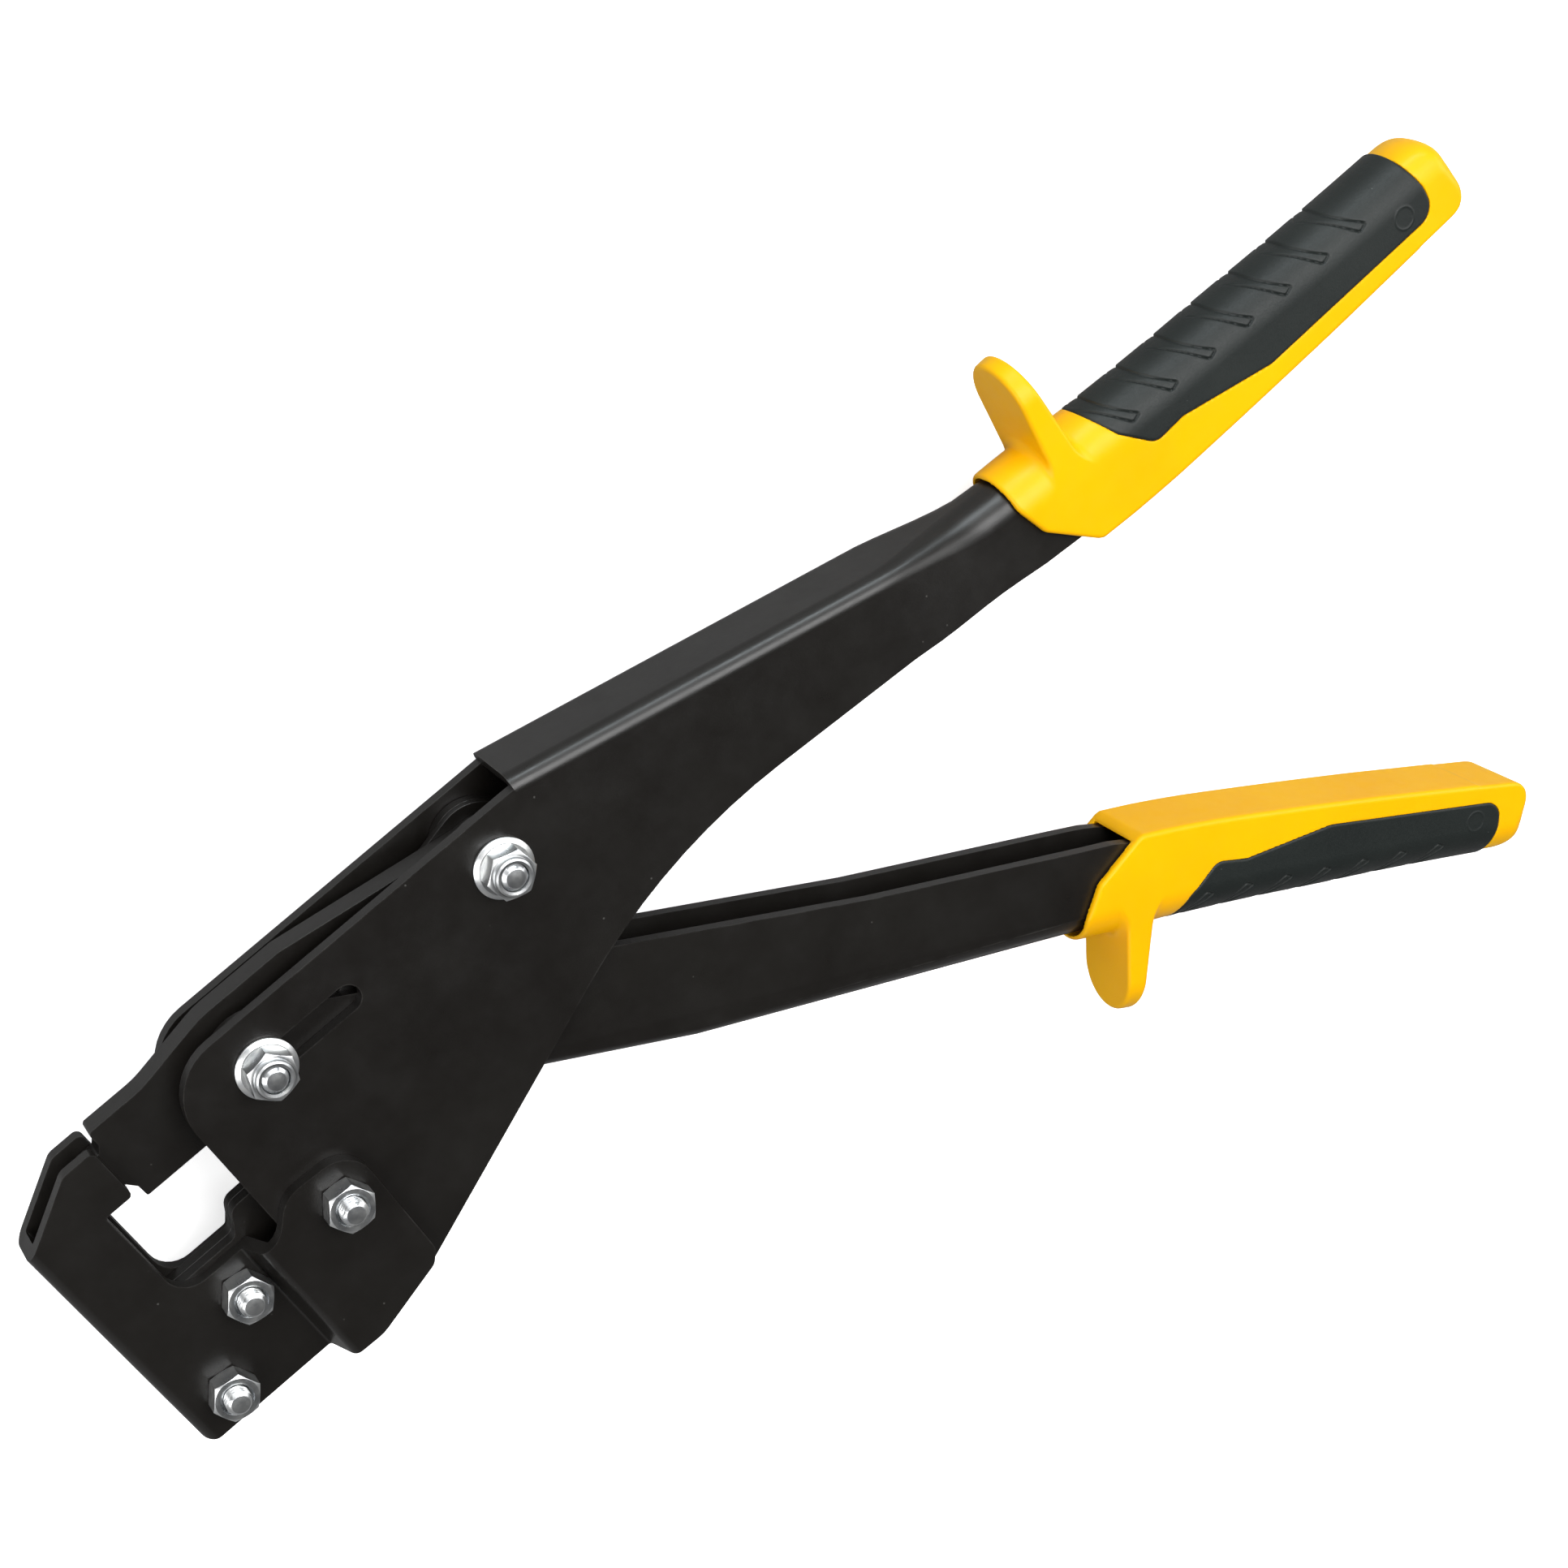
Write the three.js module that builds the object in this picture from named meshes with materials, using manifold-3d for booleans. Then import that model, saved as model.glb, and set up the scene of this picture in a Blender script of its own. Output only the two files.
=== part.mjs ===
import * as THREE from "three";
import { mergeVertices } from "three/addons/utils/BufferGeometryUtils.js";
import Module from "manifold-3d";

// Two-handed section-setting pliers lying flat, in millimetres.
// Origin: the middle of the outer face of the main bolt's head.
// +X runs from the ram bolt through the main pivot to the handles, +Y towards the spine of the
// body, +Z along every pivot towards the nuts.
// The sub-parts are drawn about the middle plane of the tool and lifted at the end.

const wasm = await Module();
wasm.setup();

// Driving dimensions.
const SHEET = 4; // body and jaw sheet
const LEVER_SHEET = 3.6;
const PLAY = 0.1; // free space between two plates that slide or rest on each other
const BOLT = 4; // radius of every bolt and pin
const HOLE = BOLT + PLAY;

// Stack of plates across the tool: distance of each face from the middle plane.
const BAR_FACE = 4;
const LINK_IN = BAR_FACE + PLAY;
const LINK_OUT = LINK_IN + 2.4;
const LEVER_IN = LINK_OUT + PLAY;
const LEVER_OUT = LEVER_IN + LEVER_SHEET;
const CHEEK_IN = LEVER_OUT + 2 * PLAY;
const CHEEK_OUT = CHEEK_IN + SHEET;
const DIE_OUT = 4.2;
const JAW_IN = DIE_OUT + PLAY;
const JAW_OUT = JAW_IN + SHEET;
const EAR_IN = CHEEK_OUT + PLAY;
const EAR_OUT = EAR_IN + SHEET;
const THROUGH = EAR_OUT + 2; // a cut this far to both sides passes through the whole stack

// Pivots and clamp bolts in the side view.
const MAIN_PIVOT = [0, 0];
const RAM_BOLT = [-83.3, 0];
const EAR_BOLT = [-91, -45.2];
const UPPER_JAW_BOLT = [-128.6, -52.6];
const LOWER_JAW_BOLT = [-149.8, -73.9];

// Toggle: link length, lever arm and the pin that joins them.
const LINK_LENGTH = 51;
const LEVER_ARM = 36;
const LINK_WIDTH = 26;

// The ram bolt slides between these places along X.
const RAM_CLOSED = -87;
const RAM_OPEN = -55;

// Where the lever and the two grips sit: origin and turn about Z.
const LEVER_TURN = -33;
const UPPER_GRIP = { x: 195.1, y: -45.5, turn: 2.6 };
const LOWER_GRIP = { x: 159.1, y: -134.4, turn: -35.4 };

// Grip: a sleeve from the collar to the butt, along U; V points away from the other handle.
const GRIP_END = 149.6;
const GRIP_HALF_WIDTH = 13;
const GRIP_EDGE = 1.5; // rounding of the inner edges
const PAD_DEPTH = 1.3;
const TANG_END = 111.5; // how far the folded tang of a lever reaches into its grip
const SEAM = 0.12; // gap round the soft pad

const rad = THREE.MathUtils.degToRad;

// ---------------------------------------------------------------- outlines and solids

// An arc's chord turns by no more than ARC_STEP and leaves the arc by no more than CHORD_GAP.
const ARC_STEP = rad(14);
const CHORD_GAP = 0.06;

// Closed outline through corners [x, y, radius]; without a radius the corner is sharp.
function outline(corners) {
  const points = [];
  corners.forEach(([x, y, radius = 0], i) => {
    const corner = new THREE.Vector2(x, y);
    if (radius === 0) {
      points.push(corner);
      return;
    }
    const [bx, by] = corners.at(i - 1);
    const [ax, ay] = corners[(i + 1) % corners.length];
    const back = new THREE.Vector2(bx, by).sub(corner).normalize();
    const ahead = new THREE.Vector2(ax, ay).sub(corner).normalize();
    const opening = Math.acos(back.dot(ahead));
    const middle = back.clone().add(ahead).normalize();
    const centre = corner.clone().addScaledVector(middle, radius / Math.sin(opening / 2));
    const start = corner.clone().addScaledVector(back, radius / Math.tan(opening / 2));
    const from = Math.atan2(start.y - centre.y, start.x - centre.x);
    const sweep = -Math.sign(back.cross(ahead)) * (Math.PI - opening);
    const step = Math.min(ARC_STEP, 2 * Math.acos(1 - CHORD_GAP / Math.max(radius, 1)));
    const steps = Math.max(2, Math.ceil(Math.abs(sweep) / step));
    for (let k = 0; k <= steps; k++) {
      const angle = from + (sweep * k) / steps;
      points.push(new THREE.Vector2(
        centre.x + radius * Math.cos(angle),
        centre.y + radius * Math.sin(angle),
      ));
    }
  });
  return points;
}

function solid(geometry) {
  const bare = geometry.clone();
  bare.deleteAttribute("normal");
  bare.deleteAttribute("uv");
  const merged = mergeVertices(bare, 1e-4);
  return new wasm.Manifold(new wasm.Mesh({
    numProp: 3,
    vertProperties: merged.attributes.position.array,
    triVerts: new Uint32Array(merged.index.array),
  }));
}

// A plate in the side view, from one height to another.
function plate(corners, low, high) {
  const shape = new THREE.Shape(outline(corners));
  const geometry = new THREE.ExtrudeGeometry(shape, { depth: high - low, bevelEnabled: false });
  return solid(geometry.translate(0, 0, low));
}

// A prism drawn in the X-Z plane and run along Y.
function foldedStrip(corners, low, high) {
  const shape = new THREE.Shape(outline(corners));
  const geometry = new THREE.ExtrudeGeometry(shape, { depth: high - low, bevelEnabled: false });
  return solid(geometry.rotateX(Math.PI / 2).translate(0, high, 0));
}

function round([x, y], radius, low, high, segments = 32) {
  const geometry = new THREE.CylinderGeometry(radius, radius, high - low, segments);
  return solid(geometry.rotateX(Math.PI / 2).translate(x, y, (low + high) / 2));
}

function boltHole(place, radius = HOLE) {
  return round(place, radius, -THROUGH, THROUGH);
}

function box(x0, x1, y0, y1, z0, z1) {
  const geometry = new THREE.BoxGeometry(x1 - x0, y1 - y0, z1 - z0);
  return solid(geometry.translate((x0 + x1) / 2, (y0 + y1) / 2, (z0 + z1) / 2));
}

// A long hole with round ends between two places.
function slotHole([x0, y0], [x1, y1], radius) {
  const along = new THREE.Vector2(x1 - x0, y1 - y0).normalize().multiplyScalar(radius);
  const corners = [
    [x0 - along.x - along.y, y0 - along.y + along.x, radius * 0.999],
    [x0 - along.x + along.y, y0 - along.y - along.x, radius * 0.999],
    [x1 + along.x + along.y, y1 + along.y - along.x, radius * 0.999],
    [x1 + along.x - along.y, y1 + along.y + along.x, radius * 0.999],
  ];
  return plate(corners, -THROUGH, THROUGH);
}

// A skin through sections of equal point count, closed at both ends.
function loft(sections) {
  const count = sections[0].length;
  const index = [];
  for (let s = 0; s + 1 < sections.length; s++) {
    for (let i = 0; i < count; i++) {
      const a = s * count + i;
      const b = s * count + ((i + 1) % count);
      index.push(a, b, b + count, a, b + count, a + count);
    }
  }
  const last = (sections.length - 1) * count;
  for (let i = 1; i + 1 < count; i++) {
    index.push(0, i + 1, i, last, last + i, last + i + 1);
  }
  const geometry = new THREE.BufferGeometry();
  const numbers = sections.flat().flatMap((point) => point.toArray());
  geometry.setAttribute("position", new THREE.Float32BufferAttribute(numbers, 3));
  return solid(geometry.setIndex(index));
}

function join(first, ...others) {
  return others.reduce((made, other) => made.add(other), first);
}

function cut(first, ...others) {
  return others.reduce((made, other) => made.subtract(other), first);
}

function geometryOf(made) {
  const { numProp, vertProperties, triVerts } = made.getMesh();
  const geometry = new THREE.BufferGeometry();
  const positions = new Float32Array((vertProperties.length / numProp) * 3);
  for (let i = 0; i < positions.length / 3; i++) {
    positions.set(vertProperties.subarray(i * numProp, i * numProp + 3), i * 3);
  }
  geometry.setAttribute("position", new THREE.BufferAttribute(positions, 3));
  geometry.setIndex(new THREE.BufferAttribute(triVerts, 1));
  const flat = geometry.toNonIndexed();
  flat.computeVertexNormals();
  return flat;
}

// The same solid turned about X, then about Z, in degrees, then moved.
function placed(made, { turnX = 0, turnZ = 0, x = 0, y = 0, z = 0 }) {
  const geometry = geometryOf(made).rotateX(rad(turnX)).rotateZ(rad(turnZ)).translate(x, y, z);
  return solid(geometry);
}

function piece(name, made, material) {
  const mesh = new THREE.Mesh(geometryOf(made), material);
  mesh.name = name;
  return mesh;
}

// ---------------------------------------------------------------- materials

const blackSteel = () =>
  new THREE.MeshStandardMaterial({ color: 0x1b1a19, roughness: 0.42, metalness: 0.35 });
const zinc = () =>
  new THREE.MeshStandardMaterial({ color: 0xc9ccd0, roughness: 0.28, metalness: 1 });
const yellowPlastic = () =>
  new THREE.MeshStandardMaterial({ color: 0xffcd0a, roughness: 0.4, metalness: 0 });
const softBlack = () =>
  new THREE.MeshStandardMaterial({ color: 0x2a2c2e, roughness: 0.75, metalness: 0 });

// ---------------------------------------------------------------- folded sheet bodies

// Cross-section of a folded channel at one place along it: an arch whose crown is the folded web.
function arch(along, crown, halfWidth, radius, foot) {
  const points = [new THREE.Vector3(along, foot, -halfWidth)];
  const steps = 7;
  for (const side of [-1, 1]) {
    for (let k = 0; k <= steps; k++) {
      const angle = ((side < 0 ? k : steps - k) / steps) * (Math.PI / 2);
      points.push(new THREE.Vector3(
        along,
        crown - radius + radius * Math.sin(angle),
        side * (halfWidth - radius + radius * Math.cos(angle)),
      ));
    }
  }
  points.push(new THREE.Vector3(along, foot, halfWidth));
  return points;
}

// The channel narrows in an S-curve between two places, where its web grows round.
function channelStations(start, narrowFrom, narrowTo, wide, narrow, tang) {
  const stations = [{ ...start, ...wide }];
  const steps = 6;
  for (let k = 0; k <= steps; k++) {
    const share = k / steps;
    const blend = share * share * (3 - 2 * share);
    const mix = (a, b) => a + (b - a) * blend;
    stations.push({
      along: THREE.MathUtils.lerp(narrowFrom.along, narrowTo.along, share),
      crown: THREE.MathUtils.lerp(narrowFrom.crown, narrowTo.crown, share),
      half: mix(wide.half, narrow.half),
      radius: mix(wide.radius, narrow.radius),
    });
  }
  return stations.concat(tang);
}

// Solid bar under the web, or with a sheet thickness the hollow inside it.
function channelCore(stations, foot, sheet = 0) {
  return loft(stations.map(({ along, crown, half, radius }) =>
    arch(along, crown - sheet, half - sheet, Math.max(radius - sheet, 1), foot)));
}

function bodyChannel() {
  const spineFront = 15.2;
  const tang = [
    { along: 200, crown: -15.3, half: 9.6, radius: 9 },
    { along: 240, crown: -18.4, half: 9.4, radius: 9 },
    { along: 310, crown: -18.9, half: 9.2, radius: 9 },
  ];
  const stations = channelStations(
    { along: spineFront - 1, crown: 20 },
    { along: 132, crown: -6.4 },
    { along: 168, crown: -12.8 },
    { half: CHEEK_OUT, radius: 5 },
    { half: 10.3, radius: 9.3 },
    tang,
  );
  const cheekTop = 16;
  const above = 40;
  const below = -95;
  const front = -120;
  const tangEnd = UPPER_GRIP.x + TANG_END;
  const side = plate([
    [-108.7, cheekTop, 18],
    [-109.4, -74, 9],
    [-98, -83, 6],
    [-85, -82.2, 4],
    [37.3, -29.6, 180],
    [130, -34.6, 60],
    [178, -41.1, 40],
    [195, -42.4, 20],
    [tangEnd, -35.4],
    [tangEnd, above],
    [spineFront + 1, above],
    [spineFront, cheekTop],
  ], -CHEEK_OUT, CHEEK_OUT);
  const outside = join(
    box(front, spineFront, below, above, -CHEEK_OUT, CHEEK_OUT),
    channelCore(stations, below),
  );
  const inside = join(
    box(front - 1, spineFront, below - 1, above + 1, -CHEEK_IN, CHEEK_IN),
    channelCore(stations, below - 1, SHEET),
  );
  return cut(
    side.intersect(outside),
    inside,
    boltHole(MAIN_PIVOT),
    boltHole(EAR_BOLT),
    slotHole([RAM_CLOSED, 0], [RAM_OPEN, 0], HOLE),
  );
}

// Lever along its own X from the ram bolt; its web is on the side away from the body.
function leverChannel() {
  const webFront = 48;
  const endRound = 15;
  const tangEnd = 387;
  const tang = [
    { along: 281, crown: 11, half: 9.6, radius: 9 },
    { along: 321, crown: 7.7, half: 9.4, radius: 9 },
    { along: 392, crown: 6.8, half: 9.2, radius: 9 },
  ];
  // Drawn with the web up, then turned over.
  const stations = channelStations(
    { along: webFront - 1, crown: 19 },
    { along: 130, crown: 19.2 },
    { along: 259, crown: 12.2 },
    { half: LEVER_OUT, radius: 4.5 },
    { half: LEVER_OUT, radius: 9.2 },
    tang,
  );
  const above = 40;
  const below = -40;
  const side = plate([
    [-endRound, -endRound, endRound * 0.99],
    [-endRound, endRound, endRound * 0.99],
    [webFront, 18.9],
    [webFront + 1, above],
    [tangEnd, above],
    [tangEnd, -8.9],
    [268, -17.1, 12],
    [185, -14.1, 150],
  ], -LEVER_OUT, LEVER_OUT);
  const outside = join(
    box(-30, webFront, below, above, -LEVER_OUT, LEVER_OUT),
    channelCore(stations, below),
  );
  const inside = join(
    box(-31, webFront, below - 1, above + 1, -LEVER_IN, LEVER_IN),
    channelCore(stations, below - 1, LEVER_SHEET),
  );
  const made = cut(
    side.intersect(outside),
    inside,
    boltHole([0, 0]),
    slotHole([32.3, -7.2], [37.1, -7.2], 5.5),
  );
  return placed(made, { turnX: 180 });
}

// Front jaw: one sheet folded round the nose, set outwards behind the throat to make two ears.
function jawFrame() {
  const nose = -165;
  const foldRound = 4;
  const crease = -121;
  const earStart = -117.2;
  const slope = Math.atan2(EAR_OUT - JAW_OUT, earStart - crease);
  const shift = SHEET * Math.tan(slope / 2); // keeps the sheet equally thick on the slope
  const back = -70;
  const strip = foldedStrip([
    [back, EAR_OUT],
    [earStart, EAR_OUT, 3],
    [crease, JAW_OUT, 1.2],
    [nose, JAW_OUT, foldRound],
    [nose, -JAW_OUT, foldRound],
    [crease, -JAW_OUT, 1.2],
    [earStart, -EAR_OUT, 3],
    [back, -EAR_OUT],
    [back, -EAR_IN],
    [earStart + shift, -EAR_IN, 1],
    [crease + shift, -JAW_IN, 1],
    [nose + SHEET, -JAW_IN, 0.8],
    [nose + SHEET, JAW_IN, 0.8],
    [crease + shift, JAW_IN, 1],
    [earStart + shift, EAR_IN, 1],
    [back, EAR_IN],
  ], -95, 20);
  const [earX, earY] = EAR_BOLT;
  const earRound = 11.8;
  const side = plate([
    [-165.5, -3.4],
    [-161.8, -1.2, 4],
    [-142.6, 11, 4],
    [-132.5, 11, 2],
    [-132.5, -6.8, 1.5],
    [-142, -6.8, 1],
    [-142, -41.5, 8],
    [-119, -41.5, 4],
    [-112, -42.2, 8],
    [earX - earRound, earY + earRound + 1, 10],
    [earX + earRound - 1, earY + earRound, 10],
    [-81, -76.5, 4],
    [-84.2, -80.3, 4],
    [-107.5, -86.9, 12],
    [-117.5, -86.6, 5],
    [-120.8, -84.2, 2],
    [-165.5, -84.2, 4.5],
  ], -EAR_OUT, EAR_OUT);
  return cut(
    side.intersect(strip),
    boltHole(EAR_BOLT),
    boltHole(UPPER_JAW_BOLT),
    boltHole(LOWER_JAW_BOLT),
  );
}

// One of the two die plates clamped in the jaw; their upper edge is the floor of the throat.
function diePlate(low, high) {
  const made = plate([
    [-158, -40, 3],
    [-120.5, -40, 3],
    [-116.5, -32.2, 4],
    [-80, -31.5, 12],
    [-80, -58, 12],
    [-104, -60, 10],
    [-120, -83.2, 3],
    [-158, -83.2, 3],
  ], low, high);
  return cut(
    made,
    boltHole(EAR_BOLT),
    boltHole(UPPER_JAW_BOLT),
    boltHole(LOWER_JAW_BOLT),
  );
}

// ---------------------------------------------------------------- moving bars

// Flat ram bar with the punch tooth in front and a long hole round the main pivot.
function punchBar() {
  const rearRound = 9.5;
  const made = plate([
    [-130.4, 13.8, 1.2],
    [-112.3, 13.8, 25],
    [-88, 18.8, 25],
    [-60.7, 18.8, 8],
    [-3, rearRound, 3],
    [rearRound, rearRound, rearRound * 0.99],
    [rearRound, -rearRound, rearRound * 0.99],
    [-35, -rearRound, 3],
    [-40, -4.4, 4],
    [-58, -4.4, 5],
    [-66, -12.1, 5],
    [-130, -12.1, 0.6],
    [-130.2, -8],
    [-132.4, -5, 1],
    [-138, -5, 1],
    [-138, 7, 1],
    [-132.1, 7, 0.5],
    [-130.4, 9, 0.5],
  ], -BAR_FACE, BAR_FACE);
  return cut(
    made,
    boltHole(RAM_BOLT),
    slotHole([-28.8, 0], [3.9, 0], HOLE + PLAY),
  );
}

// Angle of the link below the slot line when the ram bolt is at its rest place.
function linkAngle() {
  const span = -RAM_BOLT[0];
  return Math.acos((span ** 2 + LINK_LENGTH ** 2 - LEVER_ARM ** 2) / (2 * span * LINK_LENGTH));
}

const LINK_PIN = [-LINK_LENGTH * Math.cos(linkAngle()), -LINK_LENGTH * Math.sin(linkAngle())];

function link(low, high) {
  const radius = LINK_WIDTH / 2;
  const bar = plate([
    [-radius - LINK_LENGTH, -radius, radius * 0.99],
    [radius, -radius, radius * 0.99],
    [radius, radius, radius * 0.99],
    [-radius - LINK_LENGTH, radius, radius * 0.99],
  ], low, high);
  return cut(
    placed(bar, { turnZ: THREE.MathUtils.radToDeg(linkAngle()) }),
    boltHole(MAIN_PIVOT),
    boltHole(LINK_PIN, BOLT + PLAY / 2),
  );
}

// ---------------------------------------------------------------- fasteners

const HEX_FLATS = 13;
const FLANGE = 8.95;

// A turned shape on the Z axis from [radius, height] pairs; the profile closes on the axis.
function turned(profile, segments = 28) {
  const points = profile.map(([radius, height]) => new THREE.Vector2(radius, height));
  return solid(new THREE.LatheGeometry(points, segments).rotateX(Math.PI / 2));
}

function hexPrism(low, high, turn) {
  const radius = HEX_FLATS / Math.sqrt(3);
  const geometry = new THREE.CylinderGeometry(radius, radius, high - low, 6);
  geometry.rotateX(Math.PI / 2).rotateZ(rad(turn)).translate(0, 0, (low + high) / 2);
  return solid(geometry);
}

// Hexagon whose corners are turned off at the top, and at the bottom when it has no flange.
function hexBody(height, turn, bottomChamfer) {
  const corner = HEX_FLATS / Math.sqrt(3);
  const inner = HEX_FLATS / 2 - 0.1;
  const fall = 0.9;
  const skin = turned([
    [0, 0],
    [bottomChamfer ? inner : corner + 1, 0],
    [corner + 0.1, bottomChamfer ? fall : 0.4],
    [corner + 0.1, height - fall],
    [inner, height],
    [0, height],
  ]);
  return hexPrism(0, height, turn).intersect(skin);
}

const flange = () => turned([[0, 0], [FLANGE, 0], [FLANGE, 1], [7.4, 1.9], [0, 1.9]]);

function flangeNut([x, y], base, turn) {
  const hexTop = 7.2;
  const collar = turned([[0, 6], [5.7, 6], [5.7, 8.2], [5, 9], [0, 9]]);
  const made = join(flange(), hexBody(hexTop, turn, false), collar);
  return placed(cut(made, round([0, 0], HOLE, -1, 20)), { x, y, z: base });
}

function plainNut([x, y], base, turn) {
  const countersink = turned([[0, 5.9], [BOLT + 0.2, 5.9], [BOLT + 1, 7], [0, 7]]);
  const made = cut(hexBody(6.5, turn, true), round([0, 0], HOLE, -1, 20), countersink);
  return placed(made, { x, y, z: base });
}

// Bolt from its head, outside the far plate, to the chamfered tip beyond the nut.
function bolt([x, y], face, tip, headHeight, withFlange, turn) {
  const chamfer = 0.8;
  const shank = turned([
    [0, -face - 1],
    [BOLT, -face - 1],
    [BOLT, tip - chamfer],
    [BOLT - chamfer, tip],
    [0, tip],
  ]);
  const head = hexBody(headHeight, turn, !withFlange);
  const whole = withFlange ? join(flange(), head) : head;
  const turnedOver = placed(whole, { turnX: 180, z: -face });
  return placed(join(shank, turnedOver), { x, y });
}

function ring(place, outer, low, high) {
  return cut(round(place, outer, low, high), round(place, HOLE, low - 1, high + 1));
}

// ---------------------------------------------------------------- grips

// Along the grip: the levels of its outer side and of its inner face, which bows out a little.
const GRIP_STATIONS = [
  [-20, 35.4, 0],
  [-2, 34.2, -0.3],
  [14, 32.1, -1.5],
  [28, 30.9, -2.1],
  [47, 29.6, -2.3],
  [72, 28.4, -2.3],
  [95, 27.1, -2.1],
  [118, 26.2, -1.6],
  [GRIP_END + 1, 25.3, -0.8],
];

// Cross-section of the grip, drawn inwards on every side by the inset.
function gripSection(u, outer, inner, inset) {
  const half = GRIP_HALF_WIDTH - inset;
  const top = outer - inset;
  const floor = inner + inset;
  const points = [];
  const arc = (v, z, radius, from, to, steps) => {
    for (let k = 0; k <= steps; k++) {
      const angle = rad(from + ((to - from) * k) / steps);
      points.push(new THREE.Vector3(u, v + radius * Math.sin(angle), z + radius * Math.cos(angle)));
    }
  };
  arc(top - half, 0, half, 0, 180, 14);
  arc(floor + GRIP_EDGE, GRIP_EDGE - half, GRIP_EDGE, 180, 270, 3);
  arc(floor + GRIP_EDGE, half - GRIP_EDGE, GRIP_EDGE, 270, 360, 3);
  return points.reverse();
}

function gripBody(inset) {
  return loft(GRIP_STATIONS.map(([u, outer, inner]) => gripSection(u, outer, inner, inset)));
}

// Side view of the sleeve: the collar rim leans forward from the inner face, the butt is round.
function gripSide() {
  const buttStart = GRIP_END - 20;
  return plate([
    [2.5, -8],
    [2.5, -4],
    [0, 0, 2],
    [-13, 14.3, 4],
    [-16.3, 25, 6],
    [-15.8, 40],
    [buttStart, 40],
    [buttStart, 26],
    [GRIP_END, 25.5, 9],
    [GRIP_END, -1, 8],
    [buttStart, -1.5],
    [buttStart, -8],
  ], -THROUGH, THROUGH);
}

// Finger guard: a blade across the outer side, thin and round at its tip.
function gripGuard() {
  const tip = 60.8;
  const face = foldedBlade(tip);
  const profile = plate([
    [-1.8, 16],
    [-1.5, 30, 30],
    [1.6, tip + 0.5, 1.5],
    [6.9, tip + 0.5, 1.5],
    [7.6, 36, 8],
    [12, 30.5, 5],
    [12, 16],
  ], -THROUGH, THROUGH);
  return face.intersect(profile);
}

// The face of the guard seen along the grip, run along the grip.
function foldedBlade(tip) {
  const half = GRIP_HALF_WIDTH;
  const shape = new THREE.Shape(outline([
    [-half, 16],
    [half, 16],
    [half, tip, half * 0.98],
    [-half, tip, half * 0.98],
  ]));
  const geometry = new THREE.ExtrudeGeometry(shape, { depth: 30, bevelEnabled: false });
  return solid(geometry.rotateY(Math.PI / 2).translate(-10, 0, 0));
}

// Side outline of the soft pad; it wraps over the outer side from one flank to the other.
function padSide(gap) {
  return plate([
    [11.6 + gap, 42],
    [20.6 + gap, 21.9],
    [29 + gap, 11.6 + gap, 5],
    [40, 12 + gap, 4],
    [71, 4.7 + gap, 8],
    [138.3 - gap, 4.8 + gap, 6],
    [138.3 - gap, 14],
    [134 - gap, 42],
  ], -THROUGH, THROUGH);
}

// Hollow for the tang, a little wider than the tang all round.
function gripSocket() {
  const clearance = 0.35;
  const socketEnd = TANG_END + 1.5;
  const stations = [
    { along: -22, crown: 33.6, half: 10.4, radius: 9.4 },
    { along: -16, crown: 33.4, half: 10.4, radius: 9.4 },
    { along: 5, crown: 30.3, half: 9.8, radius: 9 },
    { along: 45, crown: 25.2, half: 9.5, radius: 9 },
    { along: 113, crown: 21.6, half: 9.3, radius: 9 },
  ];
  const body = loft(stations.map(({ along, crown, half, radius }) =>
    arch(along, crown + clearance, half + clearance, radius + clearance, -5)));
  const side = plate([
    [-22, 8.6],
    [-14, 4],
    [-1, 2],
    [socketEnd, 4.3],
    [socketEnd, 42],
    [-22, 42],
  ], -THROUGH, THROUGH);
  return body.intersect(side);
}

function gripShell() {
  const pocket = cut(padSide(0), gripBody(PAD_DEPTH));
  const sleeve = join(gripBody(0).intersect(gripSide()), gripGuard());
  return cut(sleeve, gripSocket(), pocket);
}

function gripPad() {
  const skin = cut(gripBody(0), gripBody(PAD_DEPTH - PLAY));
  return skin.intersect(padSide(SEAM));
}

// ---------------------------------------------------------------- assembly

function turnedGroup({ x, y, turn }, over) {
  const group = new THREE.Group();
  group.position.set(x, y, 0);
  group.rotation.set(over ? Math.PI : 0, 0, rad(over ? -turn : turn));
  return group;
}

function pair(name, make, low, high, material) {
  return [
    piece(name + "_near", make(low, high), material()),
    piece(name + "_far", make(-high, -low), material()),
  ];
}

const tool = new THREE.Group();
tool.name = "section_pliers";
const rest = 0.05; // a nut or a head stands this far off the plate under it

tool.add(piece("body_channel", bodyChannel(), blackSteel()));
tool.add(piece("jaw_frame", jawFrame(), blackSteel()));
tool.add(...pair("die_plate", diePlate, PLAY, DIE_OUT, blackSteel));
tool.add(piece("punch_bar", punchBar(), blackSteel()));
tool.add(...pair("link", link, LINK_IN, LINK_OUT, blackSteel));
tool.add(piece("link_pin", round(LINK_PIN, BOLT, -LEVER_OUT, LEVER_OUT), zinc()));

const RAM_WASHER = 9; // outer radii
const EAR_SPACER = 7.5;
const mainSpacer = (low, high) => ring(MAIN_PIVOT, LINK_WIDTH / 2, low, high);
const ramWasher = (low, high) => ring(RAM_BOLT, RAM_WASHER, low, high);
const earSpacer = (low, high) => ring(EAR_BOLT, EAR_SPACER, low, high);
tool.add(...pair("main_spacer", mainSpacer, LEVER_IN, LEVER_OUT, blackSteel));
tool.add(...pair("ram_washer", ramWasher, LINK_IN, LINK_OUT, zinc));
tool.add(...pair("ear_spacer", earSpacer, JAW_IN, CHEEK_IN - PLAY, zinc));

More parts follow.
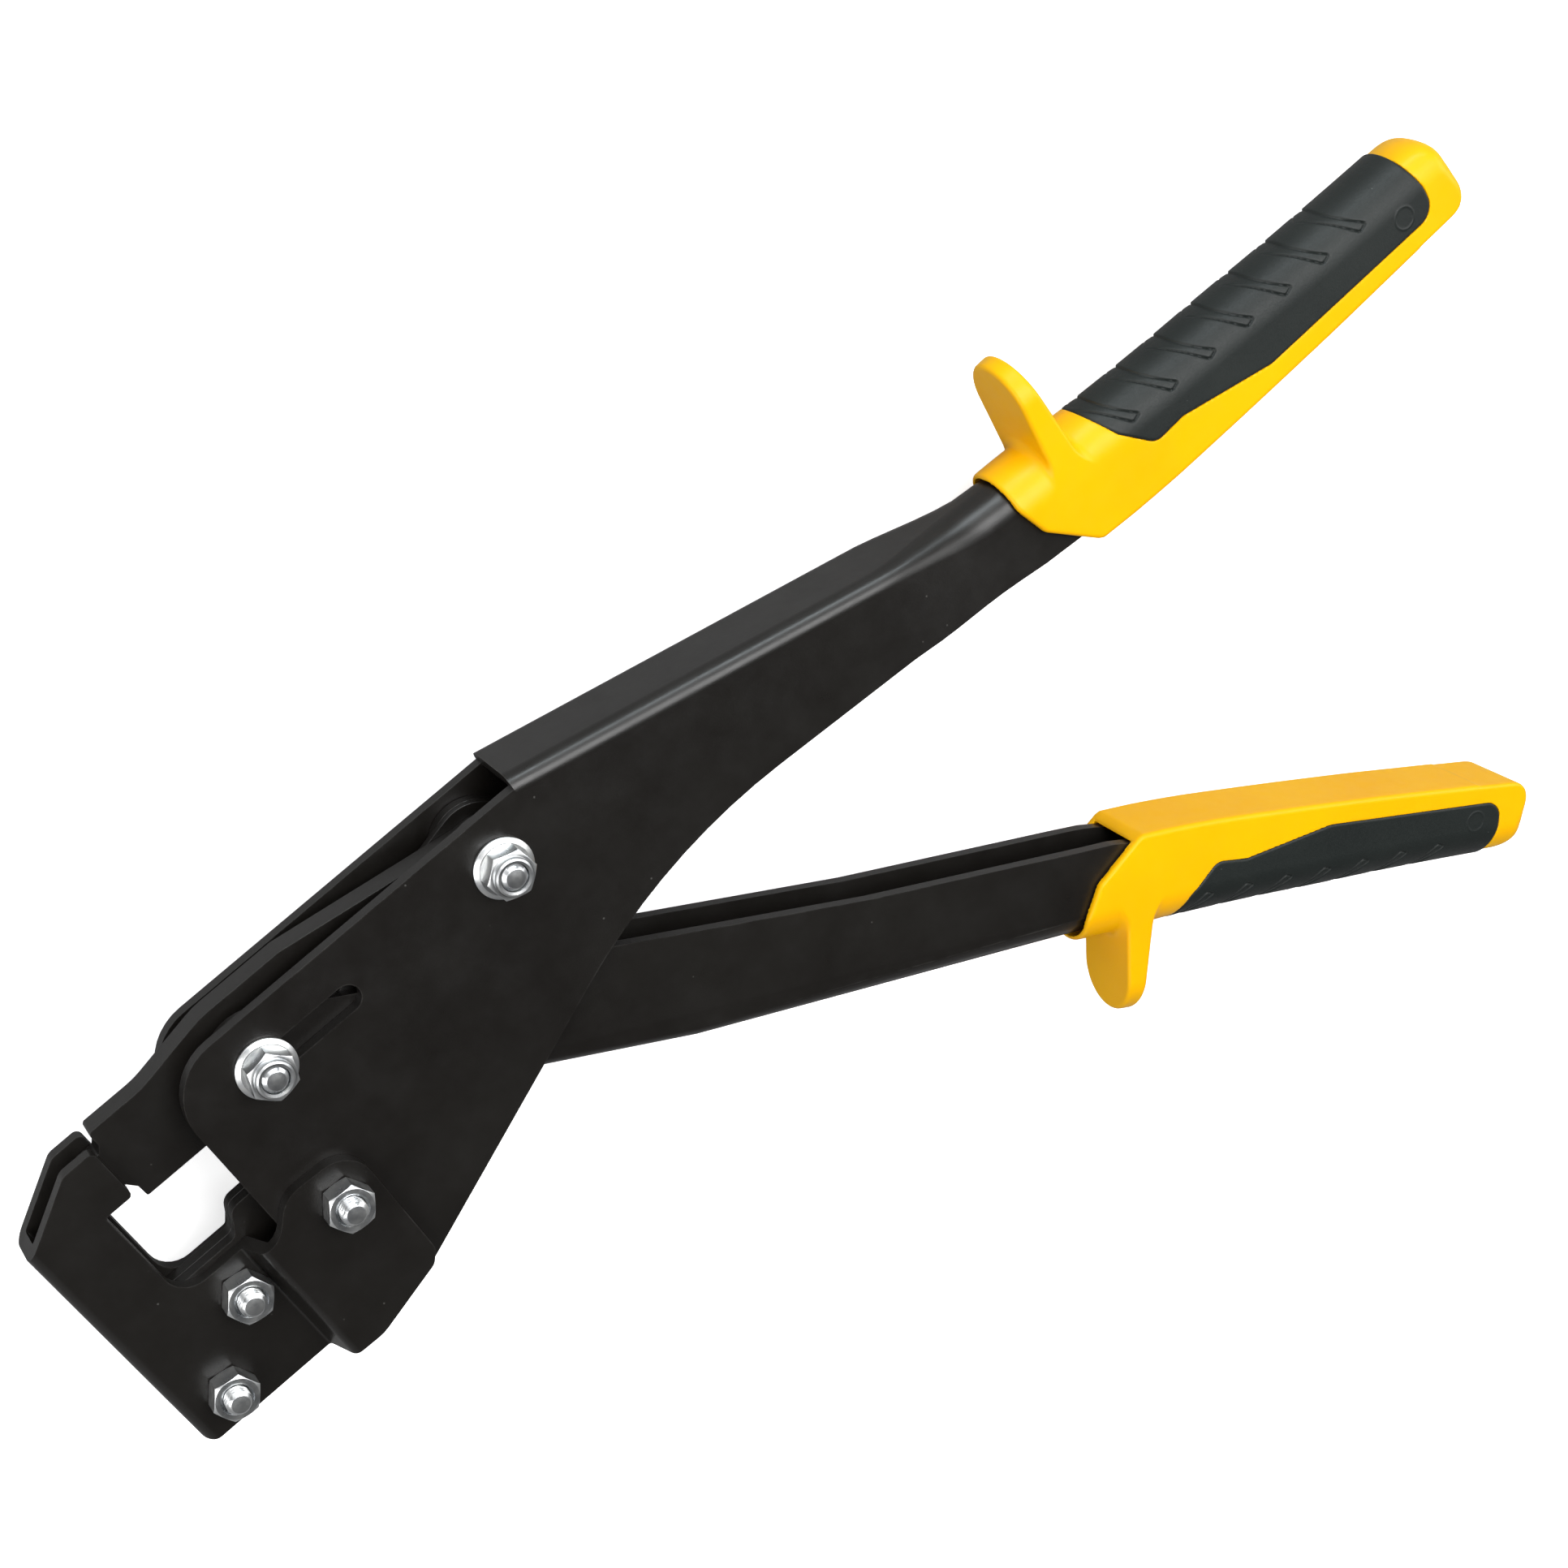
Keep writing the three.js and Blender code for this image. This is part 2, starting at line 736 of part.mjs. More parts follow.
// Each bolt's place, the plate face under its nut, and the turn of its hexagons in degrees.
const FLANGE_BOLTS = [
  ["main", MAIN_PIVOT, 12],
  ["ram", RAM_BOLT, 40],
];
const PLAIN_BOLTS = [
  ["ear", EAR_BOLT, EAR_OUT, 25],
  ["upper_jaw", UPPER_JAW_BOLT, JAW_OUT, 20],
  ["lower_jaw", LOWER_JAW_BOLT, JAW_OUT, 20],
];
const FLANGE_HEAD = 8; // head heights
const PLAIN_HEAD = 5.3;
const TIP = 9.8; // how far a bolt stands out past the plate under its nut

for (const [name, place, turn] of FLANGE_BOLTS) {
  const seat = CHEEK_OUT + rest;
  tool.add(piece(name + "_bolt", bolt(place, seat, CHEEK_OUT + TIP, FLANGE_HEAD, true, turn), zinc()));
  tool.add(piece(name + "_nut", flangeNut(place, seat, turn), zinc()));
}
for (const [name, place, face, turn] of PLAIN_BOLTS) {
  tool.add(piece(name + "_bolt", bolt(place, face + rest, face + TIP, PLAIN_HEAD, false, turn), zinc()));
  tool.add(piece(name + "_nut", plainNut(place, face + rest, turn), zinc()));
}

const lever = turnedGroup({ x: RAM_BOLT[0], y: RAM_BOLT[1], turn: LEVER_TURN }, false);
lever.add(piece("lever_channel", leverChannel(), blackSteel()));
tool.add(lever);

for (const [name, place, over] of [["upper", UPPER_GRIP, false], ["lower", LOWER_GRIP, true]]) {
  const grip = turnedGroup(place, over);
  grip.add(piece(name + "_grip_shell", gripShell(), yellowPlastic()));
  grip.add(piece(name + "_grip_pad", gripPad(), softBlack()));
  tool.add(grip);
}

tool.position.z = CHEEK_OUT + rest + FLANGE_HEAD;
const part = new THREE.Group();
part.add(tool);

export default part;
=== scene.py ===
import math

import bpy
import numpy as np
from mathutils import Matrix, Vector


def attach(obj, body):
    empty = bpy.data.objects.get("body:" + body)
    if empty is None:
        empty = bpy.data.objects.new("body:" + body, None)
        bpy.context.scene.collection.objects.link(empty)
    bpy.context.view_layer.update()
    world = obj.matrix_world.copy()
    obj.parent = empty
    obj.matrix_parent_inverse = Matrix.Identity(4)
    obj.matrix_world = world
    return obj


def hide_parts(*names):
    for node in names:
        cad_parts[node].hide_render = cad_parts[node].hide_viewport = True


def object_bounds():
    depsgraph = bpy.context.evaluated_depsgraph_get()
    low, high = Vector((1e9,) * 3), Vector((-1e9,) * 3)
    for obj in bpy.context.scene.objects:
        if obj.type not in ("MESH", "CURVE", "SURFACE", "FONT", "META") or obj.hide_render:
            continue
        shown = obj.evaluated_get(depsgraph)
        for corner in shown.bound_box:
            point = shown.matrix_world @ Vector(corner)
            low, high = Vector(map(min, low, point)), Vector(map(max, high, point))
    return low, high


# Lengths are in millimetres and angles in degrees, except where a comment says otherwise.
MM = 0.001
MID_HEIGHT = 22.45  # middle plane of the tool above the origin of the frame

BOLT_RADIUS = 4.0
THREAD_PITCH = 1.25
THREAD_LENGTH = 5.5
THREAD_DEPTH = 0.62
NUT_BORE = 4.12
HEX_FLATS = 13.0
HEX_CHAMFER = 0.62  # how far the turned-off corners fall per unit of radius
FLANGE_RADIUS = 8.95
FLANGE_RISE = 2.0
FLANGED_NUT = 7.2  # height of the hexagon's top above the plate
PLAIN_NUT = 6.5
FLANGED_HEAD = 8.0
PLAIN_HEAD = 5.3
FLANGED_TIP = 9.55  # how far the bolt stands out of the plate
PLAIN_TIP = 9.75
PINHOLE = 0.02  # radius of the hair-thin bore on a bolt's axis, where its skin turns back
SIDES = 120  # steps round a fastener

# Outer faces of the plates that the bolts clamp, measured from the middle plane.
CHEEK = 14.45
EAR = 18.55
JAW = 8.35

# "turn" is the angle of the hexagon about the bolt, and "body" what the fastener rides on.
FASTENERS = {
    "main": {"at": (0, 0), "face": CHEEK, "turn": 42, "flanged": True, "body": "frame"},
    "ram": {"at": (-83.3, 0), "face": CHEEK, "turn": 70, "flanged": True, "body": "ram"},
    "ear": {"at": (-91, -45.2), "face": EAR, "turn": 55, "flanged": False, "body": "frame"},
    "upper_jaw": {"at": (-128.6, -52.6), "face": JAW, "turn": 50, "flanged": False, "body": "frame"},
    "lower_jaw": {"at": (-149.8, -73.9), "face": JAW, "turn": 50, "flanged": False, "body": "frame"},
}

# A grip's own axes: u along it from the collar to the butt, v away from its flat inner face, z across.
GRIP_END = 149.6
BUTT_START = GRIP_END - 20
GRIP_HALF = 13.0  # half the width, and the radius of the round crest
GRIP_EDGE = 1.5
GUARD_TIP = 60.8
PAD_DEPTH = 1.3  # depth of the pocket that the pad lies in
PAD_SKIRT = 1.1  # how far the pad's rim reaches into it
FLUTES = 7
FLUTE_PITCH = 14.7
GRIPS = {
    "upper": {"at": (195.1, -45.5), "turn": 2.6, "over": False, "body": "frame"},
    "lower": {"at": (159.1, -134.4), "turn": -35.4, "over": True, "body": "handle"},
}

# Widths of the rounded edges on the parts that keep their CAD mesh.
STEEL_EDGES = {
    "body_channel": 0.5,
    "jaw_frame": 0.5,
    "lever_channel": 0.5,
    "punch_bar": 0.5,
    "die_plate_near": 0.4,
    "die_plate_far": 0.4,
    "link_near": 0.4,
    "link_far": 0.4,
    "main_spacer_near": 0.3,
    "main_spacer_far": 0.3,
}
PLATED_EDGE = 0.25
PLATED_NODES = ("link_pin", "ram_washer_near", "ram_washer_far", "ear_spacer_near", "ear_spacer_far")


# ------------------------------------------------------------------ node helpers

def new_material(name):
    """A node material, its tree and its main shader."""
    material = bpy.data.materials.new(name)
    material.use_nodes = True
    tree = material.node_tree
    return material, tree, tree.nodes["Principled BSDF"]


def node(tree, kind, **values):
    """A new node whose inputs, or else its settings, take the given values."""
    made = tree.nodes.new(kind)
    for key, value in values.items():
        if key in made.inputs:
            made.inputs[key].default_value = value
        else:
            setattr(made, key, value)
    return made


def noise(tree, scale, detail, roughness):
    """Cloudy values from 0 to 1 that ride on the object."""
    place = node(tree, "ShaderNodeTexCoord")
    made = node(tree, "ShaderNodeTexNoise", Scale=scale, Detail=detail, Roughness=roughness)
    tree.links.new(place.outputs["Object"], made.inputs["Vector"])
    return made.outputs["Fac"]


def remap(tree, value, low, high, to_low, to_high):
    """Stretches low..high to to_low..to_high, and holds the ends."""
    made = node(tree, "ShaderNodeMapRange")
    tree.links.new(value, made.inputs["Value"])
    made.inputs["From Min"].default_value = low
    made.inputs["From Max"].default_value = high
    made.inputs["To Min"].default_value = to_low
    made.inputs["To Max"].default_value = to_high
    return made.outputs["Result"]


def math_node(tree, operation, a, b):
    """One operation on two values, each a number or another node's output."""
    made = node(tree, "ShaderNodeMath", operation=operation)
    for place, value in zip(made.inputs, (a, b)):
        if isinstance(value, (int, float)):
            place.default_value = value
        else:
            tree.links.new(value, place)
    return made.outputs[0]


def mix_colour(tree, share, a, b):
    """Colour a where share is 0 and b where it is 1, each a tuple or another node's output."""
    made = node(tree, "ShaderNodeMix", data_type="RGBA")
    tree.links.new(share, made.inputs["Factor"])
    for place, colour in ((made.inputs[6], a), (made.inputs[7], b)):
        if isinstance(colour, tuple):
            place.default_value = (*colour, 1)
        else:
            tree.links.new(colour, place)
    return made.outputs[2]


def blotches(tree, cloud, a, b):
    """Two tones that run into each other with a cloud."""
    return mix_colour(tree, remap(tree, cloud, 0.35, 0.65, 0.0, 1.0), a, b)


def spotted(tree, base, spots, strength, colour):
    """Lays a colour over a base wherever spots is above 0."""
    return mix_colour(tree, math_node(tree, "MULTIPLY", spots, strength), base, colour)


def bump(tree, bsdf, layers):
    """Stacks bump layers, each (height, distance in metres), on the shader's normal."""
    normal = None
    for height, distance in layers:
        made = node(tree, "ShaderNodeBump", Strength=1.0, Distance=distance)
        tree.links.new(height, made.inputs["Height"])
        if normal is not None:
            tree.links.new(normal, made.inputs["Normal"])
        normal = made.outputs["Normal"]
    tree.links.new(normal, bsdf.inputs["Normal"])


def edge_mask(tree, radius):
    """Near 1 close to an edge and 0 on open faces."""
    soft = node(tree, "ShaderNodeBevel", samples=4, Radius=radius)
    hard = node(tree, "ShaderNodeNewGeometry")
    dot = node(tree, "ShaderNodeVectorMath", operation="DOT_PRODUCT")
    tree.links.new(soft.outputs["Normal"], dot.inputs[0])
    tree.links.new(hard.outputs["True Normal"], dot.inputs[1])
    return remap(tree, dot.outputs["Value"], 0.995, 0.9, 0.0, 1.0)


def specks(tree, scale, size):
    """Small scattered dots, 1 inside a dot, in some of the cells of a random pattern."""
    place = node(tree, "ShaderNodeTexCoord")
    cells = node(tree, "ShaderNodeTexVoronoi", Scale=scale)
    tree.links.new(place.outputs["Object"], cells.inputs["Vector"])
    near = remap(tree, cells.outputs["Distance"], size, size * 0.5, 0.0, 1.0)
    chosen = math_node(tree, "GREATER_THAN", cells.outputs["Color"], 0.72)
    return math_node(tree, "MULTIPLY", near, chosen)


# ------------------------------------------------------------------ materials

def black_steel():
    """Satin black coating, dusty, and rubbed to grey along the edges."""
    material, tree, bsdf = new_material("black_steel")
    cloud = noise(tree, 14.0, 4.0, 0.6)
    fine = noise(tree, 1900.0, 3.0, 0.65)
    peel = noise(tree, 260.0, 2.0, 0.5)
    scuff = noise(tree, 70.0, 6.0, 0.7)
    dust = specks(tree, 190.0, 0.075)
    patchy = remap(tree, scuff, 0.45, 0.62, 0.15, 1.0)
    worn = math_node(tree, "MULTIPLY", edge_mask(tree, 0.6 * MM), patchy)
    base = blotches(tree, cloud, (0.0058, 0.0048, 0.0040), (0.0092, 0.0082, 0.0070))
    base = spotted(tree, base, worn, 0.55, (0.06, 0.058, 0.054))
    base = spotted(tree, base, dust, 0.5, (0.09, 0.088, 0.08))
    tree.links.new(base, bsdf.inputs["Base Color"])
    satin = remap(tree, scuff, 0.3, 0.7, 0.27, 0.38)
    rough = math_node(tree, "ADD", satin, math_node(tree, "MULTIPLY", dust, 0.25))
    tree.links.new(rough, bsdf.inputs["Roughness"])
    bsdf.inputs["IOR"].default_value = 1.52
    bump(tree, bsdf, [(peel, 0.012 * MM), (fine, 0.02 * MM)])
    return material


def zinc():
    """Bright plating with a slightly cloudy skin."""
    material, tree, bsdf = new_material("zinc")
    bsdf.inputs["Metallic"].default_value = 1.0
    cloud = noise(tree, 180.0, 4.0, 0.6)
    fine = noise(tree, 2400.0, 2.0, 0.6)
    base = blotches(tree, cloud, (0.62, 0.64, 0.66), (0.8, 0.81, 0.8))
    tree.links.new(base, bsdf.inputs["Base Color"])
    tree.links.new(remap(tree, cloud, 0.3, 0.7, 0.26, 0.38), bsdf.inputs["Roughness"])
    bump(tree, bsdf, [(fine, 0.012 * MM)])
    return material


def yellow_plastic():
    """Moulded plastic with a soft gloss, a little light let in, and a few specks of grime."""
    material, tree, bsdf = new_material("yellow_plastic")
    cloud = noise(tree, 25.0, 3.0, 0.5)
    fine = noise(tree, 1500.0, 2.0, 0.5)
    flow = noise(tree, 220.0, 3.0, 0.5)
    grime = specks(tree, 210.0, 0.05)
    base = blotches(tree, cloud, (0.92, 0.45, 0.0), (0.95, 0.49, 0.0))
    base = spotted(tree, base, grime, 0.35, (0.55, 0.34, 0.01))
    tree.links.new(base, bsdf.inputs["Base Color"])
    tree.links.new(remap(tree, flow, 0.3, 0.7, 0.3, 0.38), bsdf.inputs["Roughness"])
    bsdf.inputs["IOR"].default_value = 1.3
    bsdf.inputs["Subsurface Weight"].default_value = 0.12
    bsdf.inputs["Subsurface Radius"].default_value = (1.0, 0.6, 0.1)
    bsdf.inputs["Subsurface Scale"].default_value = 1.2 * MM
    bump(tree, bsdf, [(flow, 0.008 * MM), (fine, 0.006 * MM)])
    return material


def soft_black():
    """Dusty rubber with a fine grain."""
    material, tree, bsdf = new_material("soft_black")
    cloud = noise(tree, 30.0, 4.0, 0.6)
    grain = noise(tree, 1500.0, 4.0, 0.7)
    dust = specks(tree, 260.0, 0.06)
    base = blotches(tree, cloud, (0.0075, 0.0105, 0.0098), (0.0115, 0.0150, 0.0138))
    base = spotted(tree, base, dust, 0.4, (0.16, 0.17, 0.16))
    tree.links.new(base, bsdf.inputs["Base Color"])
    tree.links.new(remap(tree, grain, 0.3, 0.7, 0.42, 0.56), bsdf.inputs["Roughness"])
    bsdf.inputs["Specular IOR Level"].default_value = 0.4
    bump(tree, bsdf, [(grain, 0.05 * MM)])
    return material


# ------------------------------------------------------------------ curves and distances

def smooth_curve(points):
    """A cubic through (x, y) points with even slopes between neighbours."""
    xs, ys = (np.array(column, float) for column in zip(*points))
    slopes = np.gradient(ys, xs)

    def value(x):
        x = np.clip(x, xs[0], xs[-1])
        i = np.clip(np.searchsorted(xs, x) - 1, 0, len(xs) - 2)
        width = xs[i + 1] - xs[i]
        t = (x - xs[i]) / width
        return (
            (2 * t**3 - 3 * t**2 + 1) * ys[i]
            + (t**3 - 2 * t**2 + t) * width * slopes[i]
            + (3 * t**2 - 2 * t**3) * ys[i + 1]
            + (t**3 - t**2) * width * slopes[i + 1]
        )

    return value


# Levels v along the grip: its crest, its inner face, and the crown of the tang inside.
GRIP_STATIONS = (-24, -2, 14, 28, 47, 72, 95, 118, 152.5)
GRIP_CRESTS = (35.7, 34.2, 32.1, 30.9, 29.6, 28.4, 27.1, 26.2, 25.3)
GRIP_FLOORS = (0, -0.3, -1.5, -2.1, -2.3, -2.3, -2.1, -1.6, -0.8)
grip_height = smooth_curve(zip(GRIP_STATIONS, GRIP_CRESTS))
grip_floor = smooth_curve(zip(GRIP_STATIONS, GRIP_FLOORS))
tang_crown = smooth_curve([(-24, 33.7), (-16, 33.4), (5, 30.3), (45, 25.2), (80, 23), (114, 21.6)])


def rounded_outline(corners):
    """Points of a closed outline through corners (x, y, radius)."""
    step = 0.2  # radians between the points of an arc
    points = []
    for i, (x, y, radius) in enumerate(corners):
        corner = Vector((x, y))
        back = (Vector(corners[i - 1][:2]) - corner).normalized()
        ahead = (Vector(corners[(i + 1) % len(corners)][:2]) - corner).normalized()
        if radius == 0:
            points.append(corner)
            continue
        opening = back.angle(ahead)
        centre = corner + (back + ahead).normalized() * radius / math.sin(opening / 2)
        start = corner + back * radius / math.tan(opening / 2)
        sweep = -math.copysign(math.pi - opening, back.x * ahead.y - back.y * ahead.x)
        first = math.atan2(start.y - centre.y, start.x - centre.x)
        count = max(2, math.ceil(abs(sweep) / step))
        for k in range(count + 1):
            angle = first + sweep * k / count
            points.append(centre + radius * Vector((math.cos(angle), math.sin(angle))))
    return np.array([tuple(p) for p in points])


def outline_distance(x, y, outline):
    """Signed distance to a closed outline, negative inside."""
    best = np.full(np.shape(x), 1e9)
    inside = np.zeros(np.shape(x), bool)
    for (ax, ay), (bx, by) in zip(outline, np.roll(outline, -1, axis=0)):
        dx, dy = bx - ax, by - ay
        t = np.clip(((x - ax) * dx + (y - ay) * dy) / (dx * dx + dy * dy + 1e-12), 0, 1)
        best = np.minimum(best, (x - ax - t * dx) ** 2 + (y - ay - t * dy) ** 2)
        crosses = (ay > y) != (by > y)
        inside ^= crosses & (x < ax + (y - ay) / (dy if dy else 1e-12) * dx)
    return np.sqrt(best) * np.where(inside, -1, 1)


def both(a, b, radius):
    """Inside both shapes, with the edge between them rounded."""
    a, b = a + radius, b + radius
    return np.hypot(np.maximum(a, 0), np.maximum(b, 0)) + np.minimum(np.maximum(a, b), 0) - radius


def either(a, b, fillet):
    """Inside one shape or the other, with a fillet where they meet."""
    share = np.maximum(fillet - np.abs(a - b), 0) / fillet
    return np.minimum(a, b) - share * share * fillet / 4


# Side outline of the sleeve, its slanted collar rim first. Between the rim and the rounded butt
# it stands clear of the grip, which the section's own levels bound there.
GRIP_SIDE = rounded_outline([
    (3, -5, 0),
    (0, 0, 1.5),
    (-13, 14.3, 4),
    (-16.3, 25, 6),
    (-15.8, 40, 0),
    (BUTT_START, 40, 0),
    (BUTT_START, 26, 0),
    (GRIP_END, 25.5, 9),
    (GRIP_END, -1, 8),
    (BUTT_START, -1.5, 0),
    (BUTT_START, -5, 0),
])

# Side outline of the soft pad. It runs on past the crest, so that the pad folds over it.
PAD_SIDE = rounded_outline([
    (11.6, 42, 0),
    (20.6, 21.9, 0),
    (29, 11.6, 5),
    (40, 12, 4),
    (71, 4.7, 8),
    (138.3, 4.8, 6),
    (138.3, 14, 0),
    (134, 42, 0),
])


# ------------------------------------------------------------------ grip shell

def grip_section(u, v, z):
    """Distance to the plain grip, endless along its length."""
    crest = v - (grip_height(u) - GRIP_HALF)
    upper = np.hypot(np.maximum(crest, 0), z) - GRIP_HALF
    lower = both(np.abs(z) - GRIP_HALF, grip_floor(u) - v, GRIP_EDGE)
    return np.where(crest > 0, upper, lower)


def guard_distance(u, v, z):
    """Finger guard: a blade across the grip, tapering to a round tip."""
    face = np.hypot(np.maximum(v - (GUARD_TIP - GRIP_HALF), 0), z) - GRIP_HALF
    rise = v - 30
    middle = 3.0 + rise * 0.04
    half_thickness = np.clip(4.6 - rise * 0.066, 2.0, 5.2)
    blade = both(face, np.abs(u - middle) - half_thickness, 1.3)
    root = 14 - v  # the blade starts inside the grip
    return np.maximum(blade, root)


def socket_distance(u, v, z):
    """Hollow for the folded tang, open at the collar."""
    depth = 113
    half = np.interp(u, [-24, -16, 5, 45, 114], [10.75, 10.75, 10.15, 9.85, 9.65])
    arch = both(np.abs(z) - half, v - (tang_crown(u) + 0.35), half - 0.9)
    floor = np.interp(u, [-24, -14, -1, depth], [9.4, 4.0, 2.0, 4.3]) - v
    return np.maximum(np.maximum(arch, floor), u - depth)


def shell_distance(points):
    """Sleeve and guard, with the pocket for the pad and the hollow for the tang cut out."""
    u, v, z = points[..., 0], points[..., 1], points[..., 2]
    section = grip_section(u, v, z)
    rounding = np.where(u > BUTT_START, np.interp(v, [2, 14], [1.2, 4.5]), 1.2)
    body = both(section, outline_distance(u, v, GRIP_SIDE), rounding)
    body = either(body, guard_distance(u, v, z), 3.0)
    body = np.maximum(body, np.abs(z) - GRIP_HALF)
    pocket = np.maximum(outline_distance(u, v, PAD_SIDE), -(section + PAD_DEPTH))
    body = both(body, -pocket, 0.25)
    return np.maximum(body, -socket_distance(u, v, z))


def cell_points(field):
    """For each grid cell that the surface crosses, the mean of the crossings on its edges, in cells."""
    shape = np.array(field.shape) - 1
    total = np.zeros((*shape, 3), np.float32)
    count = np.zeros(shape, np.int32)

    def at(offset):
        return field[tuple(slice(o, o + n) for o, n in zip(offset, shape))]

    for a in np.ndindex(2, 2, 2):
        for axis in range(3):
            if a[axis]:
                continue
            b = list(a)
            b[axis] = 1
            fa, fb = at(a), at(b)
            cross = (fa < 0) != (fb < 0)
            t = np.where(cross, fa / np.where(cross, fa - fb, 1), 0)
            for k in range(3):
                total[..., k] += np.where(cross, a[k] + (t if k == axis else 0), 0)
            count += cross
    used = count > 0
    return used, np.argwhere(used) + total[used] / count[used][:, None]


def cell_quads(inside, used):
    """One quad round each grid edge that the surface crosses, through its four cells, facing out."""
    shape = used.shape
    number = np.full(shape, -1, np.int64)
    number[used] = np.arange(used.sum())
    faces = []
    for axis in range(3):
        one, two = (axis + 1) % 3, (axis + 2) % 3
        ahead = np.moveaxis(inside, axis, 0)
        change = np.moveaxis(ahead[:-1] != ahead[1:], 0, axis)
        start = np.moveaxis(ahead[:-1], 0, axis)
        places = np.argwhere(change)
        keep = (places[:, one] > 0) & (places[:, two] > 0)
        keep &= (places[:, one] < shape[one]) & (places[:, two] < shape[two])
        places = places[keep]
        outward = start[tuple(places.T)]
        ring = []
        for d1, d2 in ((1, 1), (0, 1), (0, 0), (1, 0)):
            cell = places.copy()
            cell[:, one] -= d1
            cell[:, two] -= d2
            ring.append(number[tuple(cell.T)])
        quads = np.stack(ring, axis=1)
        quads[~outward] = quads[~outward][:, ::-1]
        faces.append(quads)
    return np.concatenate(faces)


def surface_net(distance, low, high, steps):
    """A quad skin on the zero surface of a distance function, drawn cell by cell."""
    axes = [np.arange(a, b + s, s) for a, b, s in zip(low, high, steps)]
    grid = np.stack(np.meshgrid(*axes, indexing="ij"), axis=-1)
    field = distance(grid).astype(np.float32)
    used, places = cell_points(field)
    return places * np.array(steps) + np.array(low), cell_quads(field < 0, used)


def settle(points, distance):
    """Moves points onto the zero surface along the distance's slope."""
    reach = 0.3  # longest move in one round
    nudge = 0.02
    for _ in range(2):
        here = distance(points)
        changes = [distance(points + e) - distance(points - e) for e in np.eye(3) * nudge]
        slope = np.stack(changes, axis=1) / (2 * nudge)
        size = (slope**2).sum(1)
        move = -(here / np.maximum(size, 0.2))[:, None] * slope
        points = points + np.clip(move, -reach, reach)
    return points


def shell_mesh():
    """Points and faces of the sleeve, finer across its width."""
    step = 0.5
    low = (-19.2, -7.4, -13.7)
    high = (GRIP_END + 3, GUARD_TIP + 2.1, 13.7)
    points, faces = surface_net(shell_distance, low, high, (step, step, step * 0.9))
    return settle(points, shell_distance), faces


# ------------------------------------------------------------------ grip pad

def flute_relief(u, across):
    """How far the pad's surface stands off: engraved flutes that bend as they run over the crest."""
    line_depth, line_width = 0.55, 0.33
    hollow_depth = 0.5
    relief = np.zeros_like(u)
    away = np.abs(across)
    near = np.clip(away, 0, 18)
    front = 21.7 + 0.036 * np.maximum(near - 1, 0) ** 2
    rear = 15.9 + 0.5 * near + 0.0075 * near**2
    middle, half = (front + rear) / 2, (front - rear) / 2
    for k in range(FLUTES):
        along = u - FLUTE_PITCH * k
        cap = away - (27.2 - 0.39 * along)
        edge = both(np.abs(along - middle) - half, cap, 1.0)
        fade = np.where(along < middle, np.clip(away / 6, 0, 1), 1)
        line = np.exp(-((edge / line_width) ** 2)) * fade
        inside = np.clip(-edge / 0.6, 0, 1)
        slope = np.clip((along - rear) / (front - rear), 0, 1)
        hollow = inside * slope * np.clip(1 - away / 16, 0, 1) ** 0.7
        relief -= line_depth * line + hollow_depth * hollow
    return relief


def pad_surface(u, fine):
    """Rows of points over the grip, one per level u: up one flank, over the crest and down the other.

    Gives v, z, the way across from the crest, and the surface's normal in v and z.
    """
    base = 3.8  # where the flanks start, a little under the pad's outline
    centre = (grip_height(u) - GRIP_HALF)[:, None]
    quarter = GRIP_HALF * math.pi / 2
    climb = np.linspace(0, 1, int(40 / fine), endpoint=False)
    angle = np.linspace(0, math.pi, int(150 / fine), endpoint=False) + 0 * centre
    up = base + (centre - base) * climb
    over = centre + GRIP_HALF * np.sin(angle)
    down = base + (centre - base) * (1 - climb)
    flat = np.ones_like(up)
    v = np.concatenate([up, over, down], axis=1)
    across = [quarter + centre - up, quarter - GRIP_HALF * angle, down - centre - quarter]
    across = np.concatenate(across, axis=1)
    normal_v = np.concatenate([0 * flat, np.sin(angle), 0 * flat], axis=1)
    normal_z = np.concatenate([flat, np.cos(angle), -flat], axis=1)
    return v, GRIP_HALF * normal_z, across, normal_v, normal_z


def pad_mesh():
    """Points and faces of the soft pad: fluted, rolled down at its rim, a plain ring on each flank."""
    gap, proud = 0.14, 0.12  # round the pad's outline, and above the sleeve
    roll_width, roll_depth = 0.7, 0.3
    ring_u, ring_v, ring_radius = 128.5, 10.6, 3.3
    ring_width, ring_height = 0.3, 0.16
    fine = 1.0
    us = np.arange(11.2, 138.6, 0.22 * fine)
    v, z, across, normal_v, normal_z = pad_surface(us, fine)
    u = np.repeat(us[:, None], v.shape[1], axis=1)
    edge = outline_distance(u, v, PAD_SIDE) + gap
    relief = flute_relief(u, across) * np.clip(-edge / 1.5, 0, 1)
    roll = np.clip(1 + edge / roll_width, 0, 1)
    ring = np.hypot(u - ring_u, v - ring_v) - ring_radius
    on_flank = np.abs(z) > GRIP_HALF * 0.8
    mark = np.where(on_flank, ring_height * np.exp(-((ring / ring_width) ** 2)), 0)
    out = proud + relief - roll_depth * roll**2 + mark
    top = np.stack([u, v + normal_v * out, z + normal_z * out], axis=-1)
    low = np.stack([u, v - normal_v * PAD_SKIRT, z - normal_z * PAD_SKIRT], axis=-1)
    return clipped_sheet(top, low, edge)


